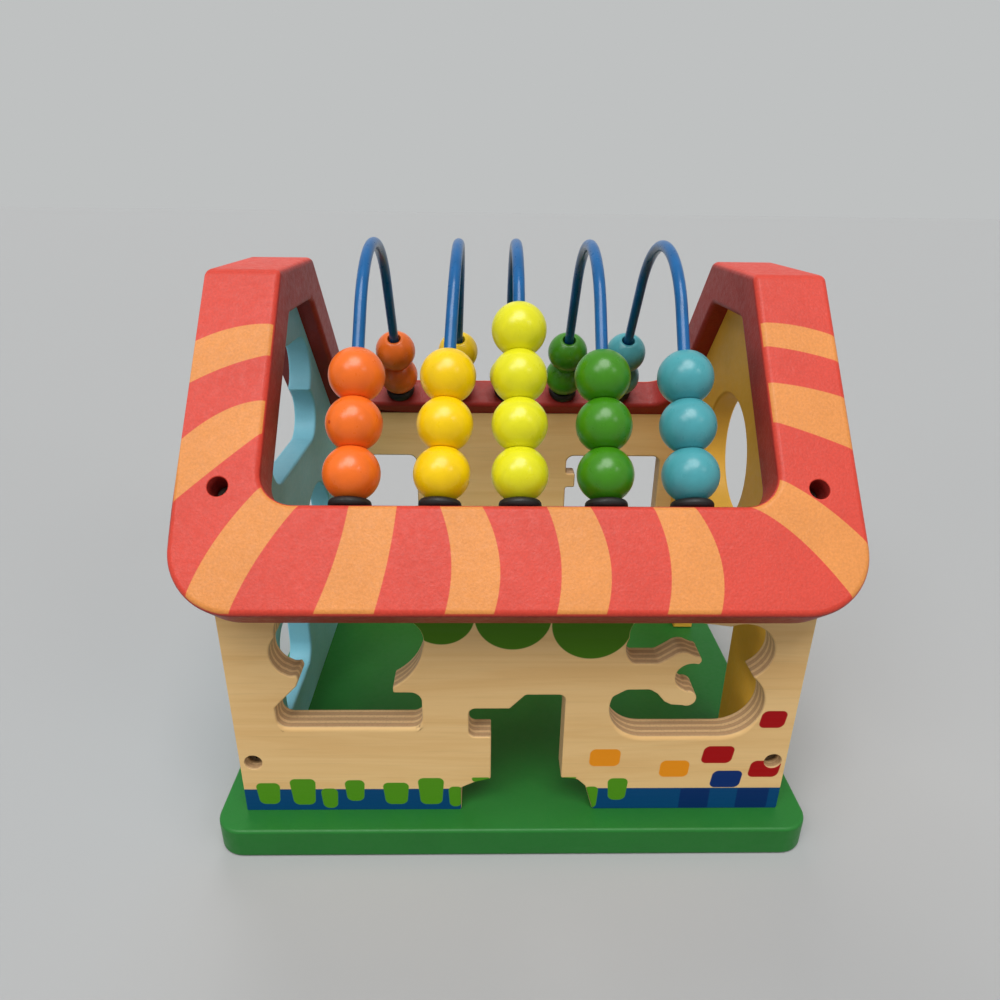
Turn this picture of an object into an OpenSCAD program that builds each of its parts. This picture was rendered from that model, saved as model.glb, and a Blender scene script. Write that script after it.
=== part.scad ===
// Wooden activity house for toddlers: a painted base board, four plywood walls with shape cut-outs,
// and an open roof that carries five bead wires. Millimetres, +Z up, the front faces -Y.
// The origin is the centre of the base board's underside.

/* [Base board] */
// Width of the base board
base_w = 220; // [214:1:228]
// Depth of the base board
base_d = 187; // [180:1:194]
// Thickness of the base board
base_t = 12.5; // [11:0.5:15]
// Radius of the base board's corners
base_r = 10; // [4:1:16]

/* [Walls] */
// Margin of the base board left free around the walls
wall_margin = 10; // [7:0.5:13]
// Thickness of the plywood walls
wall_t = 10; // [9:0.5:11]
// Height of the front and back walls' outer faces over the base board
wall_h = 97.5; // [94:0.5:104]

/* [Front wall openings] */
// Distance from each end of the front wall to the middle of its figure opening
figure_inset = 40; // [38:0.5:42]
// Height of the left figure's sill over the base board
left_sill = 38.9; // [36:0.1:40]
// Height of the right figure's sill over the base board
right_sill = 34.5; // [32:0.1:36]
// Height of the doorway
door_h = 53; // [50:0.5:58]
// Width of the doorway
door_w = 26; // [22:0.5:28]

/* [Back wall openings] */
// Height of the back windows
back_window_h = 51; // [44:1:54]
// Height of the back windows' sill over the base board
back_sill = 34; // [28:0.5:36]
// Width of the back wall's narrow window
back_narrow_w = 34; // [28:1:38]
// Width of the back wall's wide window
back_wide_w = 50; // [44:1:54]

/* [Side wall openings] */
// Diameter of the right wall's round window
round_window_d = 53; // [46:1:57]
// Width of the right wall's doorway
side_door_w = 78; // [70:1:84]
// Height of the right wall's doorway
side_door_h = 68; // [60:1:70]
// Diameter of the left wall's round opening
left_round_d = 53; // [46:1:54]
// Length of the left wall's square opening
left_square_w = 42; // [38:1:46]
// Height of the left wall's square opening
left_square_h = 40; // [34:1:42]

/* [Roof] */
// Slope of the roof panels from level, in degrees
roof_slope = 49; // [47:0.5:51]
// Width of the flat ridge
ridge_w = 51; // [48:0.5:54]
// Thickness of the roof panels
roof_t = 16; // [14:0.5:18]
// Overhang of the roof past each side wall
side_overhang = 8.5; // [6:0.5:12]
// Overhang of the eave in front of the wall
eave_overhang = 20.5; // [18:0.5:23]
// Width of the bar along the eave
bar_w = 35; // [32:0.5:37]
// Width of the two arms that rise to the ridge
arm_w = 26; // [24:0.5:28]
// Radius of the panels' outer corners at the eave
eave_r = 22; // [12:1:24]
// Radius of the panels' inner corners
opening_r = 11; // [6:1:14]

/* [Bead wires] */
// Distance between neighbouring wires
wire_pitch = 28; // [25:0.5:30]
// Diameter of the coated wire
wire_d = 4.2; // [3:0.1:4.6]
// Slope of a wire's straight legs from level, in degrees
wire_slope = 55.5; // [54.5:0.5:56.5]
// Radius of the bend at the top, to the middle of the wire
bend_r = 42.5; // [41:0.5:44]
// Depth of the wire's sockets in the eave bars
socket_depth = 14; // [10:0.5:18]

/* [Beads] */
// Diameter of a bead
bead_d = 18.8; // [17:0.1:19.2]
// Length of a bead along its hole, between its flat ends
bead_l = 16.7; // [15.5:0.1:17]
// Diameter of the hole through a bead
bead_bore = 6; // [5.5:0.1:7]
// Gap left between beads that rest on each other
bead_gap = 0.15; // [0.1:0.05:0.3]
// Diameter of the rubber washers under the beads
washer_d = 14; // [11:0.5:15]
// Thickness of the rubber washers on the wire's axis
washer_t = 3.9; // [3:0.1:4.5]

/* [Fasteners] */
// Diameter of the screws' shanks
screw_d = 3; // [2.5:0.1:3.5]
// Diameter of the screws' heads
screw_head_d = 5.6; // [5:0.1:6]
// Height of the screws' heads
screw_head_h = 2; // [1.6:0.1:2.4]
// Length of a screw under its head
screw_l = 20; // [17:0.5:22]
// Diameter of the counterbored holes over the screw heads
counterbore_d = 6.5; // [6.2:0.1:7]
// Depth of the roof's counterbores
roof_counterbore = 11; // [8:0.5:12]
// Depth of the walls' and the base board's counterbores
wall_counterbore = 6; // [4:0.5:7]
// Distance from the eave to the roof screws, along the slope
roof_screw_v = 40.5; // [38:0.5:60]
// Height of the wall screws over the base board
wall_screw_z = 23; // [18:0.5:27]
// Distance from the middle to the base screws that hold the front and back walls
base_screw_x = 60; // [50:1:75]
// Distance from the middle to the base screws that hold the side walls
base_screw_y = 56; // [52:1:62]
// Diameter of the dowels in the ridge joints
dowel_d = 6; // [4:0.5:6.5]
// Length of the dowels in the ridge joints
dowel_l = 16; // [12:0.5:18]

/* [Hidden] */
$fn = 96;
// Clearance round screws, dowels and wires in their holes
fit_gap = 0.05;
// Overrun of cutting shapes past the faces that they cut
over = 1;

house_w = base_w - 2 * wall_margin;
house_d = base_d - 2 * wall_margin;
gable_d = house_d - 2 * wall_t;
gable_x = house_w / 2 - wall_t / 2;
roof_w = house_w + 2 * side_overhang;

// The ridge follows from the wall's height, so the roof's inner face rests on the front wall's outer top edge
ridge_z = base_t + wall_h + roof_t / cos(roof_slope) + (house_d - ridge_w) / 2 * tan(roof_slope);
eave_y = -(house_d / 2 + eave_overhang);
panel_l = (-eave_y - ridge_w / 2) / cos(roof_slope);
eave_z = ridge_z - panel_l * sin(roof_slope);
// Where the mitre between a panel and a ridge block meets the inner faces
mitre_run = roof_t * tan(roof_slope / 2);
ridge_under = ridge_z - roof_t;
ridge_under_w = ridge_w - 2 * mitre_run;
gable_eave_z = base_t + wall_h + wall_t * tan(roof_slope);
arm_x = roof_w / 2 - arm_w / 2;

// A wire's foot is the middle of the eave bar's inner edge face
foot_y = eave_y + bar_w * cos(roof_slope) + roof_t / 2 * sin(roof_slope);
foot_z = eave_z + bar_w * sin(roof_slope) - roof_t / 2 * cos(roof_slope);
bend_z = foot_z + (-foot_y * sin(wire_slope) - bend_r) / cos(wire_slope);
leg_l = (-foot_y - bend_r * sin(wire_slope)) / cos(wire_slope);
bead_pitch = bead_l + bead_gap;

// Beads that rest at the front and at the back of each wire, from left to right
wire_names = ["orange", "yellow", "lime", "green", "teal"];
front_counts = [3, 3, 4, 3, 3];
back_counts = [2, 2, 1, 2, 2];
bead_colours = ["#F5762A", "#F6D21E", "#CFDD35", "#4E9A2B", "#4FA7AF"];
sides = ["front", "back"];
// Each wire's shift from even spacing, and its lean to the right in degrees, as wires are set by hand
wire_shifts = [1.1, 2, 0, 0, 0];
wire_leans = [0.8, 3.2, 0, 0, 0];

// Lobes of the left figure: [x, height over the sill, radius]
left_eye = [-14, 31.1, 10.2];
left_crown = [-11.5, 39.1, 10.2];
left_shoulder = [6, 36.6, 22];
left_ear = [19, 36.4, 9.2];
left_body = [-24.6, 26.8, 15.1];
left_neck = [-20, 17, 42];
left_brow = [[-13, 40], [-9, 48.7], [20, 45.3], [18, 40]];
left_tooth = [
    [-30, 8.1], [-24.7, 8.6], [-16.3, 17.7], [-15.2, 20.5], [-15.8, 22.4], [-18, 22], [-22, 24.3], [-30, 25]
];
left_foot_r = 4;
// Lobes of the right figure: [x, height over the sill, radius]
right_lobes = [[-14.8, 38.2, 8.4], [-14, 43.5, 8.4], [16.4, 36, 11.6], [13.4, 14.4, 14.4], [-14.2, 12.8, 12.8]];
right_neck = [-9, 19, 40];
right_crown = [[-15, 31], [16, 31], [16, 46], [-14, 50]];
// The tongue between the right figure's lobes: its outline, its two prongs' round ends and the notch
right_tongue = [
    [-32, 14.2], [-24.6, 18.6], [-21.5, 20.6], [-13.4, 20.7], [-10.6, 18.9], [-8, 15.6], [-5.4, 14.2],
    [-0.4, 13.8], [1.6, 18], [-3, 22], [-3, 28], [1.4, 31.6], [2, 34.4], [-2, 36], [-6, 35.2],
    [-11.2, 31.7], [-32, 31.7]
];
right_tips = [[0, 16.9, 3.3], [-3.2, 31.6, 4.7], [1.6, 32.9, 1.7]];
right_notch = [0.5, 26, 5.6];
// Doorway: offset of its middle, its side slot, the step over the slot and the feet beside the threshold
door_x = 4.2;
door_slot = [8, 34.5, 47];
door_step_w = 12;
door_slope_w = 5.5;
door_feet = [[-23.9, 10.5], [-19.2, 13], [-13, 14.8], [13, 15.2], [19, 14.4], [22.2, 11.2], [25.4, 0]];
door_r = 2.5;
// Back windows: distance of their middles from the wall's ends, corner radius, and the wide one's tooth
back_narrow_inset = 35;
back_wide_inset = 43;
back_r = 4;
back_tooth = [5, 33, 41];
// Left gable: the bow under the ridge, [half spread, drop under the ridge, radius], and the lower openings
bow_upper = [22, 29.5, 13.5];
bow_lower = [25, 51.5, 11.5];
left_round = [24, 61];
left_square_y = -32;
left_square_z = 18;
left_square_r = 8;
// Right gable: drop of the round window's middle under the ridge, and the doorway's top corners
round_window_drop = 60.5;
side_door_r = 16;

base_paint = "#2F8F42";
ply = "#E3C08C";
roof_paint = "#E0473F";
left_paint = "#7FB6C9";
right_paint = "#E2AE4A";
wire_paint = "#1F6FB5";
rubber = "#1C1512";
steel = "#B9BDC2";
birch = "#D8B98A";

function wire_x(w) = (w - (len(wire_names) - 1) / 2) * wire_pitch + wire_shifts[w];
function bead_count(w, side) = side == "front" ? front_counts[w] : back_counts[w];
function bead_name(w, side, i) = str(wire_names[w], "_", side, "_bead_", i + 1);
function wire_name(w) = str(wire_names[w], "_wire");

// Flat shapes

module rounded_rect(w, h, r) {
    square([w - 2 * r, h], center = true);
    square([w, h - 2 * r], center = true);
    for (x = [-1, 1], y = [-1, 1])
        translate([x * (w / 2 - r), y * (h / 2 - r)]) circle(r);
}

// A window that stands on the sill, centred on x = 0
module window(w, h, r) {
    translate([r - w / 2, 0]) square([w - 2 * r, h]);
    translate([-w / 2, r]) square([w, h - 2 * r]);
    for (x = [r - w / 2, w / 2 - r], y = [r, h - r]) translate([x, y]) circle(r);
}

module disc(lobe) {
    translate([lobe[0], lobe[1]]) circle(lobe[2]);
}

module span(x0, x1, z0, z1) {
    translate([x0, z0]) square([x1 - x0, z1 - z0]);
}

module left_figure() {
    difference() {
        union() {
            translate([(left_body[0] + left_body[1]) / 2, 0])
                window(left_body[1] - left_body[0], left_body[2], left_foot_r);
            span(left_neck[0], left_neck[1], left_body[2] / 2, left_neck[2]);
            polygon(left_brow);
            disc(left_eye);
            disc(left_crown);
            disc(left_ear);
            intersection() {
                disc(left_shoulder);
                span(left_shoulder[0], left_shoulder[0] + left_shoulder[2], 0, left_shoulder[1]);
            }
        }
        polygon(left_tooth);
    }
}

module right_figure() {
    difference() {
        union() {
            for (lobe = right_lobes) disc(lobe);
            span(right_lobes[4][0], right_lobes[3][0], 0, right_lobes[3][1]);
            span(right_neck[0], right_neck[1], right_lobes[3][1], right_neck[2]);
            polygon(right_crown);
        }
        difference() {
            union() {
                polygon(right_tongue);
                for (tip = right_tips) disc(tip);
            }
            disc(right_notch);
        }
    }
}

// The doorway, with a slot to its left, a step in its lintel and splayed feet at the threshold
module door_figure() {
    left = -door_w / 2;
    step_x = left + door_step_w;
    translate([step_x + (door_w - door_step_w) / 2, 0]) window(door_w - door_step_w, door_h, door_r);
    span(left, step_x + door_r, door_slot[1] / 2, door_slot[2]);
    span(step_x, door_w / 2, 0, door_h - door_r);
    translate([left - door_slot[0] / 2 + door_r, door_slot[1]])
        window(door_slot[0] + 2 * door_r, door_slot[2] - door_slot[1], door_r);
    polygon([
        [step_x - door_slope_w, door_slot[2]], [step_x, door_h],
        [step_x + 2 * door_r, door_h], [step_x + 2 * door_r, door_slot[2] - over],
        [step_x - door_slope_w, door_slot[2] - over]
    ]);
    polygon(concat([[door_feet[0][0], -over]], door_feet, [[door_feet[6][0], -over]]));
    span(left, door_w / 2, door_feet[2][1] / 2, door_slot[1] / 2 + over);
}

module back_figure() {
    difference() {
        window(back_wide_w, back_window_h, back_r);
        span(-back_wide_w / 2 - over, -back_wide_w / 2 + back_tooth[0], back_tooth[1], back_tooth[2]);
    }
}

module bow_figure() {
    top = bow_upper[2] - bow_upper[1];
    bottom = -bow_lower[1] - bow_lower[2];
    for (s = [-1, 1]) {
        translate([s * bow_upper[0], -bow_upper[1]]) circle(bow_upper[2]);
        translate([s * bow_lower[0], -bow_lower[1]]) circle(bow_lower[2]);
    }
    span(-bow_upper[0], bow_upper[0], bottom + bow_lower[2], top);
    span(-bow_lower[0], bow_lower[0], bottom, -bow_lower[1]);
}

module gable_outline() {
    polygon([
        [-gable_d / 2, base_t], [gable_d / 2, base_t],
        [gable_d / 2, gable_eave_z], [ridge_under_w / 2, ridge_under],
        [-ridge_under_w / 2, ridge_under], [-gable_d / 2, gable_eave_z]
    ]);
}

// One roof panel seen square on, its eave at y = 0; it runs past the ridge, where the mitre ends it
module panel_outline() {
    opening_w = roof_w - 2 * arm_w;
    difference() {
        translate([-roof_w / 2, 0]) union() {
            translate([eave_r, 0]) square([roof_w - 2 * eave_r, panel_l]);
            translate([0, eave_r]) square([roof_w, panel_l]);
            for (x = [eave_r, roof_w - eave_r]) translate([x, eave_r]) circle(eave_r);
        }
        translate([0, bar_w]) window(opening_w, panel_l, opening_r);
    }
}

// Frames of reference

// Stands a flat shape, drawn in X and height over the base board, through the front wall
module through_front() {
    translate([0, -house_d / 2 + wall_t + over, base_t]) rotate([90, 0, 0])
        linear_extrude(wall_t + 2 * over) children();
}

// The same for the back wall, seen from the front
module through_back() {
    translate([0, house_d / 2 + over, base_t]) rotate([90, 0, 0])
        linear_extrude(wall_t + 2 * over) children();
}

// Stands a flat shape, drawn in Y and height, through a side wall; side is -1 for left and 1 for right
module through_side(side, z) {
    translate([side * gable_x - wall_t / 2 - over, 0, z]) rotate([90, 0, 90])
        linear_extrude(wall_t + 2 * over) children();
}

// The front panel's own plane: X, distance up the slope and height over the outer face
module on_panel() {
    translate([0, eave_y, eave_z]) rotate([roof_slope, 0, 0]) children();
}

// A wire's own upright plane, which leans about the line through its feet
module on_wire(w) {
    translate([wire_x(w), 0, foot_z]) rotate([0, wire_leans[w], 0]) children();
}

// A point on a wire's front leg, with +Z along the wire
module on_leg(w, along) {
    on_wire(w) translate([0, foot_y + along * cos(wire_slope), along * sin(wire_slope)])
        rotate([wire_slope - 90, 0, 0]) children();
}

module to_back() {
    mirror([0, 1, 0]) children();
}

module on_side(side) {
    if (side == "front") children();
    else to_back() children();
}

// Fasteners, with the head's underside at z = 0 and the shank pointing down

module screw() {
    slot_w = screw_head_d / 6;
    slot_l = screw_head_d * 0.6;
    difference() {
        union() {
            cylinder(d = screw_head_d, h = screw_head_h);
            translate([0, 0, -screw_l + screw_d]) cylinder(d = screw_d, h = screw_l - screw_d);
            translate([0, 0, -screw_l]) cylinder(d1 = 0, d2 = screw_d, h = screw_d);
        }
        for (a = [0, 90])
            rotate(a) translate([-slot_l / 2, -slot_w / 2, screw_head_h / 2])
                cube([slot_l, slot_w, screw_head_h]);
    }
}

// The hole for a screw: a counterbore over the head and a close hole along the shank
module screw_hole(counterbore) {
    cylinder(d = counterbore_d, h = counterbore + over);
    translate([0, 0, -screw_l]) cylinder(d = screw_d + 2 * fit_gap, h = screw_l + over);
}

module at_roof_screws() {
    for (side = [-1, 1]) on_panel() translate([side * gable_x, roof_screw_v, -roof_counterbore]) children();
}

module at_wall_screws() {
    for (side = [-1, 1])
        translate([side * gable_x, -house_d / 2 + wall_counterbore, base_t + wall_screw_z])
            rotate([90, 0, 0]) children();
}

module at_base_screws() {
    wall_y = house_d / 2 - wall_t / 2;
    spots = [
        [-base_screw_x, -wall_y], [base_screw_x, -wall_y], [-base_screw_x, wall_y], [base_screw_x, wall_y],
        [-gable_x, -base_screw_y], [gable_x, -base_screw_y], [-gable_x, base_screw_y], [gable_x, base_screw_y]
    ];
    for (p = spots) translate([p[0], p[1], wall_counterbore]) rotate([180, 0, 0]) children();
}

// A dowel stands square to the mitre, in the middle of the joint
module at_dowels() {
    for (side = [-1, 1])
        translate([side * arm_x, -(ridge_w + ridge_under_w) / 4, ridge_z - roof_t / 2])
            rotate([roof_slope / 2 - 90, 0, 0]) children();
}

module dowel_hole() {
    cylinder(d = dowel_d + 2 * fit_gap, h = dowel_l, center = true);
}

// Sub-parts

module base_board() {
    color(base_paint) difference() {
        linear_extrude(base_t) rounded_rect(base_w, base_d, base_r);
        at_base_screws() screw_hole(wall_counterbore);
    }
}

// The front wall before its openings, its top cut to the roof's slope; the back wall is the same slab
module wall_slab() {
    difference() {
        translate([-house_w / 2, 0, 0]) rotate([90, 0, 90]) linear_extrude(house_w) polygon([
            [-house_d / 2, base_t], [-gable_d / 2, base_t],
            [-gable_d / 2, gable_eave_z], [-house_d / 2, base_t + wall_h]
        ]);
        at_wall_screws() screw_hole(wall_counterbore);
        at_base_screws() screw_hole(wall_counterbore);
    }
}

module front_wall() {
    color(ply) difference() {
        wall_slab();
        through_front() translate([-house_w / 2 + figure_inset, left_sill]) left_figure();
        through_front() translate([house_w / 2 - figure_inset, right_sill]) right_figure();
        through_front() translate([door_x, 0]) door_figure();
    }
}

module back_wall() {
    color(ply) difference() {
        to_back() wall_slab();
        through_back() translate([-house_w / 2 + back_narrow_inset, back_sill])
            window(back_narrow_w, back_window_h, back_r);
        through_back() translate([house_w / 2 - back_wide_inset, back_sill]) back_figure();
    }
}

// A side wall before its openings, drilled for the screws that hold it
module gable_slab(side) {
    difference() {
        translate([side * gable_x - wall_t / 2, 0, 0]) rotate([90, 0, 90])
            linear_extrude(wall_t) gable_outline();
        for (s = sides) on_side(s) {
            at_roof_screws() screw_hole(roof_counterbore);
            at_wall_screws() screw_hole(wall_counterbore);
        }
        at_base_screws() screw_hole(wall_counterbore);
    }
}

module left_wall() {
    color(left_paint) difference() {
        gable_slab(-1);
        through_side(-1, ridge_under) bow_figure();
        through_side(-1, base_t) translate(left_round) circle(d = left_round_d);
        through_side(-1, base_t) translate([left_square_y, left_square_z])
            window(left_square_w, left_square_h, left_square_r);
    }
}

module right_wall() {
    color(right_paint) difference() {
        gable_slab(1);
        through_side(1, ridge_under) translate([0, -round_window_drop]) circle(d = round_window_d);
        through_side(1, base_t) {
            window(side_door_w, side_door_h, side_door_r);
            span(-side_door_w / 2, side_door_w / 2, -over, side_door_h / 2);
        }
    }
}

// A U-shaped panel, mitred at the ridge, with sockets for the wires in its bar
module roof_panel() {
    difference() {
        on_panel() intersection() {
            translate([0, 0, -roof_t]) linear_extrude(roof_t) panel_outline();
            translate([-roof_w / 2, 0, 0]) rotate([90, 0, 90]) linear_extrude(roof_w)
                polygon([[0, -roof_t], [0, 0], [panel_l, 0], [panel_l - mitre_run, -roof_t]]);
        }
        at_roof_screws() screw_hole(roof_counterbore);
        at_dowels() dowel_hole();
        for (w = [0 : len(wire_names) - 1])
            on_leg(w, -socket_depth) cylinder(d = wire_d + 2 * fit_gap, h = socket_depth + wire_d);
    }
}

module front_roof() {
    color(roof_paint) roof_panel();
}

module back_roof() {
    color(roof_paint) to_back() roof_panel();
}

// A block that joins the front and back panels' arms over one gable
module ridge_block(side) {
    difference() {
        translate([side * arm_x - arm_w / 2, 0, 0]) rotate([90, 0, 90]) linear_extrude(arm_w) polygon([
            [-ridge_w / 2, ridge_z], [ridge_w / 2, ridge_z],
            [ridge_under_w / 2, ridge_under], [-ridge_under_w / 2, ridge_under]
        ]);
        for (s = sides) on_side(s) at_dowels() dowel_hole();
    }
}

module left_ridge() {
    color(roof_paint) ridge_block(-1);
}

module right_ridge() {
    color(roof_paint) ridge_block(1);
}

// One bead wire: two straight legs in the eave bars and a round bend over the ridge
module wire(w) {
    color(wire_paint) union() {
        for (s = sides) on_side(s) on_leg(w, -socket_depth) cylinder(d = wire_d, h = socket_depth + leg_l);
        on_wire(w) translate([0, 0, bend_z - foot_z]) rotate([90, 0, 90]) rotate(90 - wire_slope)
            rotate_extrude(angle = 2 * wire_slope) translate([bend_r, 0]) circle(d = wire_d);
    }
}

// Rubber washers, square to the wire on top and flat on the bar's edge below
module washers() {
    for (w = [0 : len(wire_names) - 1]) difference() {
        intersection() {
            on_leg(w, -washer_t) cylinder(d = washer_d, h = 2 * washer_t);
            on_panel() translate([wire_x(w) - washer_d, bar_w, -2 * roof_t])
                cube([2 * washer_d, bar_w, 3 * roof_t]);
        }
        on_leg(w, -2 * washer_t) cylinder(d = wire_d + 2 * fit_gap, h = 4 * washer_t);
    }
}

module front_washers() {
    color(rubber) washers();
}

module back_washers() {
    color(rubber) to_back() washers();
}

// A bored wooden ball with flat ends; i counts up the leg from the washer
module bead(w, side, i) {
    along = washer_t + bead_gap + bead_l / 2 + i * bead_pitch;
    color(bead_colours[w]) on_side(side) on_leg(w, along) difference() {
        intersection() {
            sphere(d = bead_d);
            cylinder(d = bead_d + over, h = bead_l, center = true);
        }
        cylinder(d = bead_bore, h = bead_d + 2 * over, center = true);
    }
}

module roof_screws() {
    color(steel) for (s = sides) on_side(s) at_roof_screws() screw();
}

module wall_screws() {
    color(steel) for (s = sides) on_side(s) at_wall_screws() screw();
}

module base_screws() {
    color(steel) at_base_screws() screw();
}

module ridge_dowels() {
    color(birch) for (s = sides) on_side(s) at_dowels() cylinder(d = dowel_d, h = dowel_l, center = true);
}

base_board();
front_wall();
back_wall();
left_wall();
right_wall();
front_roof();
back_roof();
left_ridge();
right_ridge();
for (w = [0 : len(wire_names) - 1])
    wire(w);
front_washers();
back_washers();
for (w = [0 : len(wire_names) - 1], side = sides, i = [0 : bead_count(w, side) - 1])
    bead(w, side, i);
roof_screws();
wall_screws();
base_screws();
ridge_dowels();
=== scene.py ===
import math

import bmesh
import bpy
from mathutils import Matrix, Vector


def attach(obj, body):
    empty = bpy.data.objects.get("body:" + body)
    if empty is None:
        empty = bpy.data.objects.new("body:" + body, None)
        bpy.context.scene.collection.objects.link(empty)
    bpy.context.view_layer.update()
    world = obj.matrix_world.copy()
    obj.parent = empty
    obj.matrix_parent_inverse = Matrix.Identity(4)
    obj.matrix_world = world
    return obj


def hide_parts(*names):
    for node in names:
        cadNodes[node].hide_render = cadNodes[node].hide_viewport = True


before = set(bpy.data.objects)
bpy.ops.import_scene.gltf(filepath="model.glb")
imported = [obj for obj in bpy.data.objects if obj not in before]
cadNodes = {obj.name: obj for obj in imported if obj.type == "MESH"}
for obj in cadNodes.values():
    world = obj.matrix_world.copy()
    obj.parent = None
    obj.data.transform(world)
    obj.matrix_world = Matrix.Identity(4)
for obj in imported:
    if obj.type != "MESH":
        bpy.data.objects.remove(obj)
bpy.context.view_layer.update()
scene = bpy.context.scene
mm = 0.001


# node helpers
def linear(red, green, blue):  # screen colour 0-255 to the linear values that sockets take
    def one(value):
        value /= 255
        return value / 12.92 if value <= 0.04045 else ((value + 0.055) / 1.055) ** 2.4
    return one(red), one(green), one(blue), 1.0


def feed(tree, socket, value):  # links a socket, or sets a plain value
    if isinstance(value, bpy.types.NodeSocket):
        tree.links.new(value, socket)
    else:
        socket.default_value = value


def feedAll(tree, node, inputs):
    for name, value in inputs.items():
        feed(tree, node.inputs[name], value)


def addNode(tree, kind, inputs, **options):  # options first: they decide which sockets a name finds
    node = tree.nodes.new(kind)
    for name, value in options.items():
        setattr(node, name, value)
    feedAll(tree, node, inputs)
    return node


def calc(tree, operation, *values):
    return addNode(tree, "ShaderNodeMath", dict(enumerate(values)), operation=operation).outputs[0]


def smoothStep(tree, value, low, high):  # 0 below low, 1 above high; low may be above high
    falling = low > high
    node = addNode(tree, "ShaderNodeMapRange", {
        "Value": value, "From Min": min(low, high), "From Max": max(low, high),
        "To Min": float(falling), "To Max": float(not falling)}, interpolation_type="SMOOTHSTEP")
    return node.outputs["Result"]


noiseSpan = (0.3, 0.7)  # where most of a noise lies


def spread(tree, value, low, high):  # a noise mapped to a range, for roughness and tints
    node = addNode(tree, "ShaderNodeMapRange", {
        "Value": value, "From Min": noiseSpan[0], "From Max": noiseSpan[1], "To Min": low, "To Max": high})
    return node.outputs["Result"]


def blendColour(tree, share, under, over):
    node = addNode(tree, "ShaderNodeMix", {"Factor": share, "A": under, "B": over}, data_type="RGBA")
    return next(socket for socket in node.outputs if socket.type == "RGBA")


def shaded(tree, colour, value):  # a colour made lighter and darker by value
    return addNode(tree, "ShaderNodeHueSaturation", {"Color": colour, "Value": value})


def place(tree, scale=(1, 1, 1)):  # object coordinates through a Mapping node
    coordinates = tree.nodes.new("ShaderNodeTexCoord")
    mapping = addNode(tree, "ShaderNodeMapping", {"Vector": coordinates.outputs["Object"], "Scale": scale})
    return mapping.outputs["Vector"]


def noise(tree, vector, scale, detail=2.0, roughness=0.5, distortion=0.0):
    node = addNode(tree, "ShaderNodeTexNoise", {
        "Vector": vector, "Scale": scale, "Detail": detail, "Roughness": roughness, "Distortion": distortion})
    return node.outputs["Fac"]


def split(tree, vector):  # x, y and z
    return addNode(tree, "ShaderNodeSeparateXYZ", {0: vector}).outputs


def millimetres(tree):  # object coordinates in millimetres
    return split(tree, place(tree, (1 / mm, 1 / mm, 1 / mm)))


def facing(tree):  # the surface normal
    return split(tree, tree.nodes.new("ShaderNodeNewGeometry").outputs["Normal"])


def bump(tree, height, strength, distance, under=None):
    node = addNode(tree, "ShaderNodeBump", {"Strength": strength, "Distance": distance, "Height": height})
    if under is not None:
        feed(tree, node.inputs["Normal"], under)
    return node.outputs["Normal"]


def newMaterial(name):
    material = bpy.data.materials.new(name)
    material.use_nodes = True
    tree = material.node_tree
    tree.nodes.clear()
    shader = tree.nodes.new("ShaderNodeBsdfPrincipled")
    addNode(tree, "ShaderNodeOutputMaterial", {"Surface": shader.outputs[0]})
    return material, tree, shader


# groups for printed and painted shapes, each giving a mask; sizes in millimetres
inkEdge = dict(patch=(0.22, -0.12), bandLow=(-0.15, 0.25), bandHigh=(0.15, -0.25))


def maskGroup(name, inputs):
    tree = bpy.data.node_groups.new(name, "ShaderNodeTree")
    for one in inputs:
        tree.interface.new_socket(one, in_out="INPUT", socket_type="NodeSocketFloat")
    tree.interface.new_socket("mask", in_out="OUTPUT", socket_type="NodeSocketFloat")
    return tree, tree.nodes.new("NodeGroupInput").outputs


def patchGroup():  # a rounded, slanted rectangle
    tree, given = maskGroup("printedPatch", (
        "across", "up", "centreAcross", "centreUp", "halfWidth", "halfHeight", "corner", "slant", "taper"))
    up = calc(tree, "SUBTRACT", given["up"], given["centreUp"])
    across = calc(tree, "SUBTRACT", given["across"], given["centreAcross"])
    across = calc(tree, "SUBTRACT", across, calc(tree, "MULTIPLY", up, given["slant"]))
    wide = calc(tree, "MULTIPLY_ADD", up, given["taper"], given["halfWidth"])
    reach = []
    for offset, half in ((across, wide), (up, given["halfHeight"])):
        past = calc(tree, "SUBTRACT", calc(tree, "ABSOLUTE", offset), half)
        reach.append(calc(tree, "ADD", past, given["corner"]))
    outside = [calc(tree, "MAXIMUM", one, 0.0) for one in reach]
    squares = [calc(tree, "MULTIPLY", one, one) for one in outside]
    length = calc(tree, "SQRT", calc(tree, "ADD", *squares))
    inner = calc(tree, "MINIMUM", calc(tree, "MAXIMUM", *reach), 0.0)
    distance = calc(tree, "SUBTRACT", calc(tree, "ADD", length, inner), given["corner"])
    addNode(tree, "NodeGroupOutput", {"mask": smoothStep(tree, distance, *inkEdge["patch"])})
    return tree


def bandGroup():  # a band between two curves, each a + b s + c s^2
    tree, given = maskGroup("paintedBand", (
        "along", "across", "lowA", "lowB", "lowC", "highA", "highB", "highC"))
    sides = []
    for edge, softness in (("low", inkEdge["bandLow"]), ("high", inkEdge["bandHigh"])):
        curve = calc(tree, "MULTIPLY_ADD", given[edge + "C"], given["along"], given[edge + "B"])
        curve = calc(tree, "MULTIPLY_ADD", curve, given["along"], given[edge + "A"])
        sides.append(smoothStep(tree, calc(tree, "SUBTRACT", given["across"], curve), *softness))
    addNode(tree, "NodeGroupOutput", {"mask": calc(tree, "MULTIPLY", *sides)})
    return tree


printedPatch = patchGroup()
paintedBand = bandGroup()


def useGroup(tree, group, **values):
    return addNode(tree, "ShaderNodeGroup", values, node_tree=group).outputs["mask"]


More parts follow.
